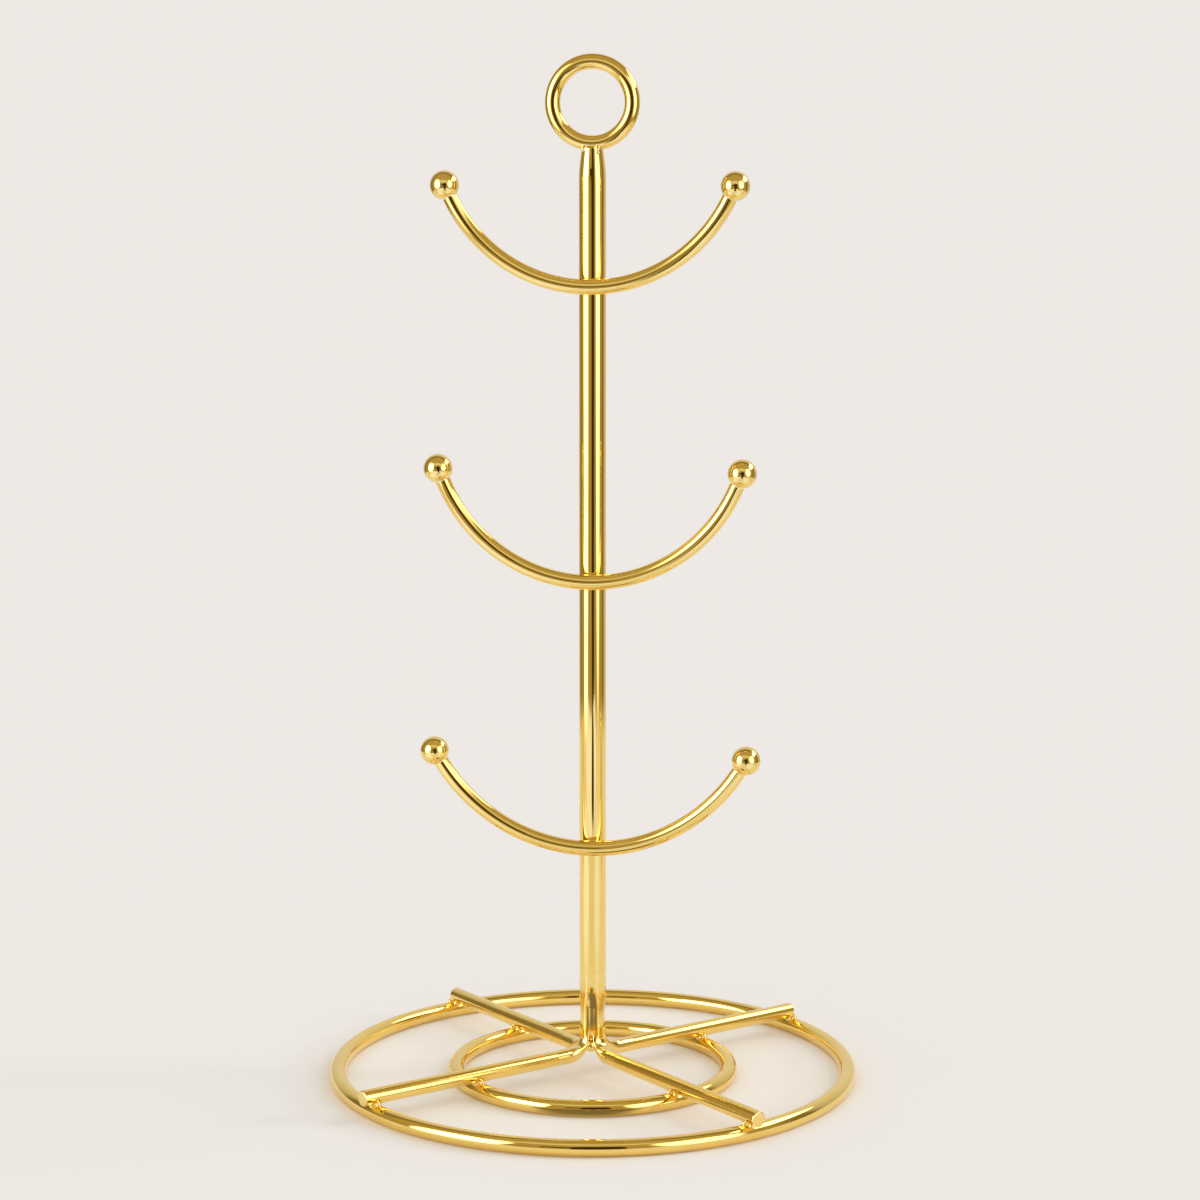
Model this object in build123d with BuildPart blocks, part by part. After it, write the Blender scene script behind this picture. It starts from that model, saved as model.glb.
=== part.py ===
from build123d import *
from math import atan2, cos, degrees, pi, sin, sqrt
import os

# A free-standing wire stand: a tube post on a two-ring base, three crescent arms with ball ends
# and a ring on top, all brazed together.
# Millimetres. +Z is up and the front faces -Y. The origin lies on the table, under the post.

# Fits and cuts
FIT_GAP = 0.03  # the gap that filler closes between two pieces
CUT_OVERRUN = 1.0  # how far a cutting shape runs past the material

# Base rings
OUTER_RING_DIAMETER = 155.0  # to the middle of the wire
INNER_RING_DIAMETER = 83.0  # to the middle of the wire
RING_WIRE = 5.0
FOOT_FLAT = 0.25  # ground off the underside, so that the stand doesn't rock

# Legs
LEG_WIRE = 4.7
LEG_SPACING = 1.0  # between neighbouring legs under the post
LEG_BEND = 5.0  # radius of the bend, to the middle of the wire
LEG_STUB = 20.0  # straight length from the bend up to the tube
LEG_DRESSING = 2.6  # radius in the corner where the stubs are ground flush with the tube
DRESSING_LIFT = 0.05  # of the ground surface above the level part of the legs
FRONT_LEG_OVERHANG = 2.0  # past the outside of the outer ring
BACK_LEG_INSET = 3.0  # short of the outside of the outer ring
LEG_END_ROUND = 0.4
LEG_NAMES = ("back_right", "back_left", "front_left", "front_right")

# Post
POST_DIAMETER = 8.0
POST_WALL = 0.8
POST_EDGE = 0.12  # broken edge at the top of the tube, which shows as a fine seam
HUB_SPIGOT = 12.0  # length of the hub inside the tube
HUB_DROP = 4.6  # how far the hub reaches down between the bends of the legs
HUB_TAPER = 0.8  # what the hub's radius loses from the tube down to its lower rim
HUB_ROUND = 1.5  # rounded lower rim of the hub

# Arms: places up the post, then the bow of each
ARM_WIRE = 4.5
LOWER_ARM_HEIGHT = 71.8  # from the table to the lowest point of the wire's middle
MIDDLE_ARM_STEP = 80.6  # above the lower arm
UPPER_ARM_STEP = 87.1  # above the middle arm
POST_ABOVE_ARMS = 32.0  # from the upper arm to the top of the tube
LOWER_ARM_SPAN = 94.3  # between the ball centres
LOWER_ARM_RISE = 28.3  # from the lowest point to the ball centres
MIDDLE_ARM_SPAN = 90.9
MIDDLE_ARM_RISE = 33.1
UPPER_ARM_SPAN = 85.8
UPPER_ARM_RISE = 29.4

# Balls
BALL_DIAMETER = 8.6
BALL_SOCKET = 3.0  # depth of the blind hole that takes the arm's end

# Finial
CAP_SPIGOT = 8.0  # length of the cap inside the tube
CAP_HEIGHT = 8.1  # above the tube
CAP_NARROWING = 0.85  # what the cap's radius loses over its height
FINIAL_WIRE = 4.5
FINIAL_RING_DIAMETER = 23.6  # to the middle of the wire
FINIAL_SADDLE = 0.8  # how deep the ring sits in the cap

# Filler
ARM_BRAZE_RADIUS = 2.2
RING_BRAZE_RADIUS = 2.0
FINIAL_BRAZE_RADIUS = 1.3
BALL_BRAZE_RADIUS = 0.5

# Places that follow from the sizes above
RING_HEIGHT = RING_WIRE / 2 - FOOT_FLAT
RING_TOP = RING_HEIGHT + RING_WIRE / 2
LEG_HEIGHT = RING_TOP + FIT_GAP + LEG_WIRE / 2
LEG_OFFSET = (LEG_WIRE + LEG_SPACING) / 2 / sin(pi / len(LEG_NAMES))
LEG_TOP = LEG_HEIGHT + LEG_WIRE / 2
BASE_RADIUS = (OUTER_RING_DIAMETER + RING_WIRE) / 2
LEG_REACHES = {"front": BASE_RADIUS + FRONT_LEG_OVERHANG, "back": BASE_RADIUS - BACK_LEG_INSET}
BEND_TOP = LEG_HEIGHT + LEG_BEND
BEND_REACH = LEG_OFFSET + LEG_BEND
POST_RADIUS = POST_DIAMETER / 2
SPIGOT_RADIUS = POST_RADIUS - POST_WALL - FIT_GAP
HUB_BOTTOM = BEND_TOP - HUB_DROP
HUB_LOW_RADIUS = POST_RADIUS - HUB_TAPER
POST_FOOT = BEND_TOP + LEG_STUB
ARM_FORWARD = POST_RADIUS + FIT_GAP + ARM_WIRE / 2
MIDDLE_ARM_HEIGHT = LOWER_ARM_HEIGHT + MIDDLE_ARM_STEP
UPPER_ARM_HEIGHT = MIDDLE_ARM_HEIGHT + UPPER_ARM_STEP
POST_TOP = UPPER_ARM_HEIGHT + POST_ABOVE_ARMS
BALL_RADIUS = BALL_DIAMETER / 2
BALL_NECK = sqrt(BALL_RADIUS**2 - (ARM_WIRE / 2) ** 2)
CAP_TOP = POST_TOP + CAP_HEIGHT
CAP_TOP_RADIUS = POST_RADIUS - CAP_NARROWING
FINIAL_OUTER_RADIUS = (FINIAL_RING_DIAMETER + FINIAL_WIRE) / 2
FINIAL_HEIGHT = CAP_TOP - FINIAL_SADDLE + FINIAL_OUTER_RADIUS

ARMS = {
    "lower": (LOWER_ARM_HEIGHT, LOWER_ARM_SPAN, LOWER_ARM_RISE),
    "middle": (MIDDLE_ARM_HEIGHT, MIDDLE_ARM_SPAN, MIDDLE_ARM_RISE),
    "upper": (UPPER_ARM_HEIGHT, UPPER_ARM_SPAN, UPPER_ARM_RISE),
}
SIDES = {"left": -1, "right": 1}
BASE_RINGS = {"outer": OUTER_RING_DIAMETER, "inner": INNER_RING_DIAMETER}


def write_piece(piece, name):
    """Label a finished piece and write it to a file of its own."""
    piece.label = name
    export_step(piece, f"parts/{name}.step")


def bend_wire(line, diameter, mode=Mode.ADD):
    """Sweep round wire along a centre line, in the part being built."""
    with BuildSketch(Plane(origin=line @ 0, z_dir=line % 0)) as section:
        Circle(diameter / 2)
    sweep(sections=section.sketch.faces(), path=line, mode=mode)


def leg_line(number):
    """Centre line of a leg: down beside the post's axis, round the bend and out over the rings."""
    turn = (2 * number + 1) * pi / len(LEG_NAMES)
    reach = LEG_REACHES[LEG_NAMES[number].split("_")[0]]
    outward = (cos(turn), sin(turn), 0)
    sideways = (sin(turn), -cos(turn), 0)
    with BuildLine(Plane(origin=(0, 0, 0), x_dir=outward, z_dir=sideways)) as line:
        FilletPolyline(
            (LEG_OFFSET, POST_FOOT),
            (LEG_OFFSET, LEG_HEIGHT),
            (reach, LEG_HEIGHT),
            radius=LEG_BEND,
        )
    return line.line


def arm_bow(span, rise):
    """Radius of an arm's bow and its angle on each side, up to where the wire runs straight into a ball."""
    radius = ((span / 2) ** 2 + rise**2 - BALL_RADIUS**2) / (2 * rise)
    return radius, atan2(span / 2, radius - rise) - atan2(BALL_RADIUS, radius)


def arm_line(height, span, rise):
    """Centre line of an arm: a bow with a short straight tail inside each ball."""
    radius, angle = arm_bow(span, rise)
    inset = BALL_RADIUS - BALL_SOCKET + FIT_GAP
    end_x, end_z = span / 2 - inset * cos(angle), height + rise - inset * sin(angle)
    bow_x, bow_z = radius * sin(angle), height + radius - radius * cos(angle)
    with BuildLine(Plane.XZ.offset(ARM_FORWARD)) as line:
        Line((-end_x, end_z), (-bow_x, bow_z))
        CenterArc((0, height + radius), radius, -90 - degrees(angle), 2 * degrees(angle))
        Line((bow_x, bow_z), (end_x, end_z))
    return line.line


def ball_plane(side, height, span, rise):
    """Plane at a ball's centre that faces back along the arm."""
    angle = arm_bow(span, rise)[1]
    centre = (side * span / 2, -ARM_FORWARD, height + rise)
    return Plane(origin=centre, z_dir=(-side * cos(angle), 0, -sin(angle)))


os.makedirs("parts", exist_ok=True)

# Base rings, each a closed ring of wire with a flat ground on its underside
ring_parts = {}
for ring_name, ring_diameter in BASE_RINGS.items():
    with BuildPart() as base_ring:
        with Locations((0, 0, RING_HEIGHT)):
            Torus(ring_diameter / 2, RING_WIRE / 2)
        split(bisect_by=Plane.XY, keep=Keep.TOP)
    ring_parts[ring_name] = base_ring.part
    write_piece(base_ring.part, f"base_{ring_name}_ring")

# What is ground away round the legs' upper ends: down the side of the tube and out over the bends
dressing_floor = LEG_TOP + DRESSING_LIFT
with BuildPart() as dressing:
    with BuildSketch(Plane.XZ):
        with BuildLine():
            TangentArc(
                (POST_RADIUS, dressing_floor + LEG_DRESSING),
                (POST_RADIUS + LEG_DRESSING, dressing_floor),
                tangent=(0, -1),
            )
            Polyline(
                (POST_RADIUS + LEG_DRESSING, dressing_floor),
                (BEND_REACH + CUT_OVERRUN, dressing_floor),
                (BEND_REACH + CUT_OVERRUN, POST_FOOT + CUT_OVERRUN),
                (POST_RADIUS, POST_FOOT + CUT_OVERRUN),
                (POST_RADIUS, dressing_floor + LEG_DRESSING),
            )
        make_face()
    revolve(axis=Axis.Z)

# Legs, each one rod with a single bend and a rounded outer end
leg_parts = []
for leg_number, leg_name in enumerate(LEG_NAMES):
    with BuildPart() as leg:
        bend_wire(leg_line(leg_number), LEG_WIRE)
        fillet(leg.edges().sort_by_distance((0, 0, LEG_HEIGHT))[-1], LEG_END_ROUND)
        add(dressing.part, mode=Mode.SUBTRACT)
    leg_parts.append(leg.part)
    write_piece(leg.part, f"leg_{leg_name}")

# The grooves that the legs lie in
with BuildPart() as leg_grooves:
    for leg_number in range(len(LEG_NAMES)):
        bend_wire(leg_line(leg_number), LEG_WIRE + 2 * FIT_GAP)

# Foot hub: a plug in the tube above a tapering body that fills the space among the legs
with BuildPart() as foot_hub:
    with BuildSketch(Plane.XZ):
        with BuildLine():
            Line((0, HUB_BOTTOM), (HUB_LOW_RADIUS - HUB_ROUND, HUB_BOTTOM))
            TangentArc(
                (HUB_LOW_RADIUS - HUB_ROUND, HUB_BOTTOM),
                (HUB_LOW_RADIUS, HUB_BOTTOM + HUB_ROUND),
                tangent=(1, 0),
            )
            Polyline(
                (HUB_LOW_RADIUS, HUB_BOTTOM + HUB_ROUND),
                (POST_RADIUS, POST_FOOT),
                (SPIGOT_RADIUS, POST_FOOT),
                (SPIGOT_RADIUS, POST_FOOT + HUB_SPIGOT),
                (0, POST_FOOT + HUB_SPIGOT),
                (0, HUB_BOTTOM),
            )
        make_face()
    revolve(axis=Axis.Z)
    add(leg_grooves.part, mode=Mode.SUBTRACT)
write_piece(foot_hub.part, "foot_hub")

# Post tube, with the edge broken where the cap meets it
with BuildPart() as post_tube:
    with BuildSketch(Plane.XY.offset(POST_FOOT)):
        Circle(POST_RADIUS)
        Circle(POST_RADIUS - POST_WALL, mode=Mode.SUBTRACT)
    extrude(amount=POST_TOP - POST_FOOT)
    top_edges = post_tube.edges().filter_by(GeomType.CIRCLE).group_by(Axis.Z)[-1]
    chamfer(top_edges.sort_by(SortBy.RADIUS)[-1], POST_EDGE)
write_piece(post_tube.part, "post_tube")

# Arms, each a bow of wire across the front of the post
# Balls, each with a blind socket for the end of the arm, and the filler round the wire at its mouth
arm_parts = {}
for arm_name, bow in ARMS.items():
    with BuildPart() as arm:
        bend_wire(arm_line(*bow), ARM_WIRE)
    arm_parts[arm_name] = arm.part
    write_piece(arm.part, f"{arm_name}_arm")

    ball_parts = []
    for side_name, side in SIDES.items():
        seat = ball_plane(side, *bow)
        with BuildPart() as ball:
            with Locations(seat):
                Sphere(BALL_RADIUS)
            with BuildSketch(seat.offset(BALL_RADIUS - BALL_SOCKET)):
                Circle(ARM_WIRE / 2 + FIT_GAP)
            extrude(amount=BALL_SOCKET + CUT_OVERRUN, mode=Mode.SUBTRACT)
        ball_parts.append(ball.part)
        write_piece(ball.part, f"{arm_name}_{side_name}_ball")

    with BuildPart() as ball_brazes:
        for side in SIDES.values():
            with Locations(ball_plane(side, *bow).offset(BALL_NECK)):
                Torus(ARM_WIRE / 2, BALL_BRAZE_RADIUS)
        add(arm.part, mode=Mode.SUBTRACT)
        add(ball_parts, mode=Mode.SUBTRACT)
    write_piece(ball_brazes.part, f"{arm_name}_ball_brazes")

# Finial ring, standing upright and facing the front
with BuildPart() as finial_ring:
    with Locations((0, 0, FINIAL_HEIGHT)):
        Torus(FINIAL_RING_DIAMETER / 2, FINIAL_WIRE / 2, rotation=(90, 0, 0))
write_piece(finial_ring.part, "finial_ring")

# Finial cap: a plug in the tube, a bowed taper above it and a saddle for the ring
with BuildPart() as finial_cap:
    with BuildSketch(Plane.XZ):
        with BuildLine():
            Polyline(
                (0, POST_TOP - CAP_SPIGOT),
                (SPIGOT_RADIUS, POST_TOP - CAP_SPIGOT),
                (SPIGOT_RADIUS, POST_TOP),
                (POST_RADIUS, POST_TOP),
            )
            TangentArc(
                (POST_RADIUS, POST_TOP),
                (CAP_TOP_RADIUS, CAP_TOP),
                tangent=(-CAP_NARROWING, 2 * CAP_HEIGHT),
            )
            Polyline((CAP_TOP_RADIUS, CAP_TOP), (0, CAP_TOP), (0, POST_TOP - CAP_SPIGOT))
        make_face()
    revolve(axis=Axis.Z)
    with Locations((0, 0, FINIAL_HEIGHT)):
        Torus(
            FINIAL_RING_DIAMETER / 2,
            FINIAL_WIRE / 2 + FIT_GAP,
            rotation=(90, 0, 0),
            mode=Mode.SUBTRACT,
        )
write_piece(finial_cap.part, "finial_cap")

# Filler under the finial ring, one bead on each side of the cap
bead_height = FINIAL_HEIGHT - sqrt(FINIAL_OUTER_RADIUS**2 - CAP_TOP_RADIUS**2)
with BuildPart() as finial_braze:
    with Locations((-CAP_TOP_RADIUS, 0, bead_height), (CAP_TOP_RADIUS, 0, bead_height)):
        Sphere(FINIAL_BRAZE_RADIUS)
    add(finial_ring.part, mode=Mode.SUBTRACT)
    add(finial_cap.part, mode=Mode.SUBTRACT)
write_piece(finial_braze.part, "finial_braze")

# Filler where each arm crosses the post
for arm_name, (arm_height, _, _) in ARMS.items():
    with BuildPart() as arm_braze:
        with Locations((0, -POST_RADIUS, arm_height)):
            Sphere(ARM_BRAZE_RADIUS, rotation=(90, 0, 0))
        with Locations((0, 0, arm_height)):
            Cylinder(POST_RADIUS, POST_DIAMETER, mode=Mode.SUBTRACT)
        add(arm_parts[arm_name], mode=Mode.SUBTRACT)
    write_piece(arm_braze.part, f"{arm_name}_arm_braze")

# Filler where the legs cross the base rings
for ring_name, ring_diameter in BASE_RINGS.items():
    with BuildPart() as ring_brazes:
        with Locations((0, 0, RING_TOP)):
            with PolarLocations(ring_diameter / 2, len(LEG_NAMES), 180 / len(LEG_NAMES)):
                Sphere(RING_BRAZE_RADIUS)
        add(ring_parts[ring_name], mode=Mode.SUBTRACT)
        add(leg_parts, mode=Mode.SUBTRACT)
    write_piece(ring_brazes.part, f"{ring_name}_ring_brazes")
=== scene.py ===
import math

import bmesh
import bpy
from mathutils import Matrix, Vector


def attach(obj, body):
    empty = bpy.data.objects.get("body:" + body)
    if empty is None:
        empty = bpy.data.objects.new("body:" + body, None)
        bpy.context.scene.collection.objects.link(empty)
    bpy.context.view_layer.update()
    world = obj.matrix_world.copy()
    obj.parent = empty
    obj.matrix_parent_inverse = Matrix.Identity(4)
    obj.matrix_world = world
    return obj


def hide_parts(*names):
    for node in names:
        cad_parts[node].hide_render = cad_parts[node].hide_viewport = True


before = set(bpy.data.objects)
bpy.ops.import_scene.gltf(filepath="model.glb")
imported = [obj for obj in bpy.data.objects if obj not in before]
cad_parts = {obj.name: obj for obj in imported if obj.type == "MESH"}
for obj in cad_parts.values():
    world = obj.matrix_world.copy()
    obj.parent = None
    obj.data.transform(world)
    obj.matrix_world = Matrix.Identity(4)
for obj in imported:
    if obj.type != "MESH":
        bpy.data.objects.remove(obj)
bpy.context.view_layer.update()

# A wire stand of gold-plated steel: a tube post on a two-ring base, three crescent arms with ball
# ends and a ring on top, all brazed together.
# Shapes are worked in millimetres and put down in metres. +Z is up and the front faces -Y.

MM = 0.001
FULL_TURN = 2 * math.pi
ORIGIN = Vector((0, 0, 0))
UP = Vector((0, 0, 1))
FORWARD = Vector((0, -1, 0))
ACROSS = Vector((1, 0, 0))

# Sizes of the stand, the same as those of its solids. A wire's size is its radius.
FIT_GAP = 0.03
BASE_RINGS = {"outer": (77.5, 320), "inner": (41.5, 224)}  # radius, and the steps it is divided into
RING_WIRE = 2.5
RING_HEIGHT = 2.25
RING_TOP = RING_HEIGHT + RING_WIRE
FLAT_HALF = math.sqrt(RING_WIRE**2 - RING_HEIGHT**2)  # half the width of the flat ground under a ring
LEG_WIRE = 2.35
LEG_HEIGHT = 7.13
LEG_HALF_PITCH = 2.85  # half the way between neighbouring legs under the post
LEG_OFFSET = LEG_HALF_PITCH / math.sin(math.pi / 4)
LEG_BEND = 5.0
LEG_END_ROUND = 0.4
LEG_DRESSING = 2.6  # radius of the corner that is ground at the foot
DRESSING_LIFT = 0.05  # of the ground surface over the legs
DRESSING_FLOOR = LEG_HEIGHT + LEG_WIRE + DRESSING_LIFT
LEG_TURNS = {"back_right": 45, "back_left": 135, "front_left": 225, "front_right": 315}
LEG_REACHES = {"front": 82.0, "back": 77.0}
BEND_TOP = LEG_HEIGHT + LEG_BEND
BEND_REACH = LEG_OFFSET + LEG_BEND
POST_RADIUS = 4.0
POST_BORE = 3.2
POST_EDGE = 0.12
POST_FOOT = 32.13
POST_TOP = 271.5
PLUG_RADIUS = POST_BORE - FIT_GAP
HUB_PLUG = 12.0
CAP_PLUG = 8.0
CAP_TOP = 279.6
CAP_TOP_RADIUS = 3.15
CAP_BULGE = 0.16
FINIAL_WIRE = 2.25
FINIAL_RADIUS = 11.8
FINIAL_HEIGHT = 292.85
ARM_WIRE = 2.25
ARM_FORWARD = 6.28
# Each arm's height above the table, its span between the ball centres and its rise to them
ARMS = {"lower": (71.8, 94.3, 28.3), "middle": (152.4, 90.9, 33.1), "upper": (239.5, 85.8, 29.4)}
BALL_RADIUS = 4.3
BALL_SOCKET = 3.0
SIDES = {"left": -1, "right": 1}

# The foot, where the legs' upright ends and the filler between them are ground to the tube
FOOT_NEAR, FOOT_FAR = 10.0, 20.0  # where the filler of the foot runs out along a leg
FOOT_OVERLAP = 0.5  # how much further its stubs reach
FOOT_SWELL = 0.03  # what smoothing takes off the foot again
FOOT_INSIDE = POST_FOOT + 6.0  # how far up inside the tube the run-together foot goes
LEG_UNDER_FILLER = 0.2  # how deep a leg lies under the filler of the foot
STUB_UNDER_LEG = 0.3  # how deep the filler ends under the leg
LOBE_TOP, LOBE_FULL = 26.5, 22.0  # between these heights the legs' ends round out of the ground surface
LOBE_ROOT, LOBE_SHARE = 3.43, 0.20  # from what radius outwards, and how much of a leg's roundness is left
COLUMN_TAPER_START, COLUMN_TAPER = 30.0, 0.012  # where the foot starts to slip inside the tube, and how fast
BAND_RADIUS = 3.62  # the narrow bands between the legs' upright ends
BAND_END, BAND_SUNK, BAND_FLUSH = 12.7, 21.5, 28.0
BAND_ROUND = 1.5
WEB_HEIGHT, WEB_RADIUS, WEB_OUT = 9.3, 1.75, 2.4  # the filler that hangs between neighbouring legs
CORE_HEIGHT, CORE_RADIUS = 10.2, 2.6  # the filler in the middle, under the post

# The other filler
FILLER_SHRINK = 0.05
NECK_FILLET = 0.55  # radius of the fillet between a ball and its arm
NECK_LIP, NECK_RIM = 0.02, 0.06  # its thin upper edge: how far inside the wire's surface, and how high
NECK_DEPTH, NECK_HEEL_IN, NECK_HEEL = 0.6, 0.3, 1.2  # its hidden back, inside the wire and the ball
ARM_STUB_LENGTH = 12.0
ARM_NUGGET_RADIUS, ARM_NUGGET_FORWARD = 1.9, 0.1
CAP_STUB_START = POST_TOP + 2.5
FINIAL_STUB_ANGLE = math.radians(70)
FINIAL_JOINT = FINIAL_HEIGHT - math.sqrt((FINIAL_RADIUS + FINIAL_WIRE) ** 2 - CAP_TOP_RADIUS**2)
# Radius of each bead, its place to the right and to the back, and its height over the joint
FINIAL_BEADS = (
    (0.9, -2.25, -1.75, 0.2), (0.8, 1.85, -1.9, 0.2), (0.6, 1.95, -2.3, -0.9),
    (0.8, -2.3, 1.2, 0.0), (0.8, 2.3, 1.2, 0.0),
)
FINIAL_DROPS = ((0.74, -2.3, -2.2, 0.25), (0.62, 1.9, -2.45, 0.1))
RING_STUB_LENGTH, RING_STUB_FLOOR = 9.0, 1.0
LEG_STUB_HALF, LEG_STUB_INSET = 2.6, 0.6
CROSSING_CORE = 1.1
SIDE_BEAD, END_BEAD, BEAD_OUT, BEAD_LIFT = 0.85, 0.8, 1.3, 0.1  # radii of a crossing's beads, and their place
DROP_RADIUS, DROP_OUT, DROP_LIFT = 0.72, 1.75, 0.38
DROP_SIDES = {45: -1, 135: 1, 225: 1, 315: -1}  # the side of each leg that its drop of filler froze on

# How finely shapes are divided; a flow is the filler's grain and how often it is smoothed
WIRE_SIDES = 72
LATHE_STEPS = 160
BALL_STEPS, BALL_ARC_STEPS = 96, 56
FILLET_STEPS = 10
CAP_STEPS = 12
END_ROUND_STEPS = 6
BEND_STEPS, STUB_STEPS = 28, 40
ARM_STEPS, ARM_STUB_STEPS = 120, 16
FINIAL_STEPS, FINIAL_STUB_STEPS = 144, 24
RING_STUB_STEPS = 12
NUGGET_STEPS = 24
FOOT_FLOW = (0.17, 15)
FINIAL_FLOW = (0.12, 8)
ARM_FLOW = (0.14, 8)
CROSSING_FLOW = (0.13, 8)
MERGE = 1e-4
CUT_MERGE = 1e-5
WIRE_CREASE, FILLER_CREASE = 35, 60  # degrees past which an edge is left sharp

# Finishes: colours, the grain of each pattern per metre, and the part of the pattern that shows
BRIGHT_GOLD = (0.98, 0.735, 0.235, 1.0)
DEEP_GOLD = (0.95, 0.665, 0.175, 1.0)
PALE_GOLD = (0.98, 0.76, 0.28, 1.0)
FILLER_GOLD = (0.97, 0.83, 0.44, 1.0)
THIN_GOLD = (0.95, 0.82, 0.50, 1.0)
HEAT_BROWN = (0.80, 0.50, 0.15, 1.0)
PATCH_SPAN, PATCHINESS = (0.35, 0.70), 0.55
HAZE_SPAN, HAZE_TO_PATCH = (0.38, 0.72), 2.5
SCRATCH_GRAIN = (3600.0, 3600.0, 90.0)
SCRATCH_TURNS = ((0.4, 0.9, 0.2), (1.3, 0.3, 1.1), (2.2, 1.7, 0.6))
SCRATCH_SPAN, SCRATCH_HAZE = (0.66, 0.74), 0.02
ROLL_GRAIN = 210.0
FINE_DRAWN_GRAIN = (12.0, 5200.0, 5200.0)
WIDE_DRAWN_GRAIN = (5.0, 1300.0, 1300.0)
TURNED_GRAIN = 3800.0
SAW_GRAIN, SAW_TURN = (1.0, 4200.0, 240.0), (0.5, 0.0, 0.0)
SAWN_SPAN, SAWN_HAZE = (0.00005, 0.0003), 0.16  # how far in a rod's sawn end is marked, in metres
WEAR_GRAIN, WEAR_SPAN, LEAST_WEAR, WEAR_AMOUNT, WORN_HAZE = 900.0, (0.3, 0.7), 0.3, 0.7, 0.06
HEAT_SPAN, HEAT_HAZE = (0.5, 0.75), 0.10
WIRE_PLACE = "wire_place"  # where a point lies on its wire, kept on the piece's points
EDGE_REACH = "edge_reach"  # how far a point is from the nearest edge that wears
FAR_FROM_EDGES = 10.0
# Sockets of the node groups that carry more than a plain value
SOCKET_KINDS = {"Place": "Vector", "Bright": "Color", "Deep": "Color", "Color": "Color"}


# Finishes

def set_socket(tree, socket, value):
    """Give a socket its own value, or link it to another node's output."""
    if isinstance(value, bpy.types.NodeSocket):
        tree.links.new(value, socket)
    else:
        socket.default_value = value


def set_inputs(tree, made, inputs):
    """Give a node's named inputs their values or links."""
    for name, value in inputs.items():
        set_socket(tree, made.inputs[name.replace("_", " ")], value)
    return made


def add_node(tree, kind, **inputs):
    """Put a shader node in a tree."""
    made = tree.nodes.new("ShaderNode" + kind)
    return set_inputs(tree, made, inputs)


def place_group(tree, group, **inputs):
    """Use a node group in a material, with its own values."""
    made = add_node(tree, "Group")
    made.node_tree = group
    return set_inputs(tree, made, inputs).outputs


def start_group(name, takes, gives):
    """An empty node group with named sockets, and the sockets inside it."""
    group = bpy.data.node_groups.new(name, "ShaderNodeTree")
    for labels, way in ((takes, "INPUT"), (gives, "OUTPUT")):
        for label in labels:
            kind = "NodeSocket" + SOCKET_KINDS.get(label, "Float")
            group.interface.new_socket(label, in_out=way, socket_type=kind)
    return group, group.nodes.new("NodeGroupInput").outputs, group.nodes.new("NodeGroupOutput").inputs


def sum_up(tree, operation, first, second=0.0):
    """One step of arithmetic with one or two values."""
    step = add_node(tree, "Math")
    step.operation = operation
    for socket, value in zip(step.inputs, (first, second)):
        set_socket(tree, socket, value)
    return step.outputs["Value"]


def add_share(tree, value, extra, share):
    """A value with a share of another on top."""
    return sum_up(tree, "ADD", value, sum_up(tree, "MULTIPLY", extra, share))


def stretch(tree, place, scale):
    """A position drawn out by three factors, so that a pattern runs in lines."""
    step = add_node(tree, "VectorMath")
    step.operation = "MULTIPLY"
    tree.links.new(place, step.inputs[0])
    step.inputs[1].default_value = scale
    return step.outputs["Vector"]


def span(tree, value, low, high, to_low, to_high):
    """A value spread from one range over another, smoothly and without running past it."""
    step = add_node(
        tree, "MapRange", Value=value, From_Min=low, From_Max=high, To_Min=to_low, To_Max=to_high
    )
    step.interpolation_type = "SMOOTHSTEP"
    return step.outputs["Result"]


def grain(tree, place, scale, detail, **more):
    """A soft, uneven pattern, as a value."""
    pattern = add_node(tree, "TexNoise", Vector=place, Scale=scale, Detail=detail, **more)
    return pattern.outputs["Fac"]


def blend(tree, share, first, second):
    """A colour that goes over into a second one by a share."""
    mix = add_node(tree, "Mix")
    mix.data_type = "RGBA"
    return set_inputs(tree, mix, {"Factor": share, "A": first, "B": second}).outputs["Result"]


def mix_shaders(tree, share, first, second):
    """A shader that goes over into a second one by a share."""
    mixed = add_node(tree, "MixShader", Fac=share)
    tree.links.new(first, mixed.inputs[1])
    tree.links.new(second, mixed.inputs[2])
    return mixed.outputs["Shader"]


def read_attribute(tree, name):
    """A value that the piece's own points carry."""
    reader = add_node(tree, "Attribute")
    reader.attribute_name = name
    return reader.outputs


def make_plating_tone():
    """Gold that lies thicker in some places than in others."""
    group, takes, gives = start_group(
        "plating_tone", ("Place", "Bright", "Deep", "Patch Size", "Patchiness"), ("Color",)
    )
    patch = grain(group, takes["Place"], takes["Patch Size"], detail=3.0, Roughness=0.55)
    depth = span(group, patch, *PATCH_SPAN, 0.0, takes["Patchiness"])
    group.links.new(blend(group, depth, takes["Bright"], takes["Deep"]), gives["Color"])
    return group


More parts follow.
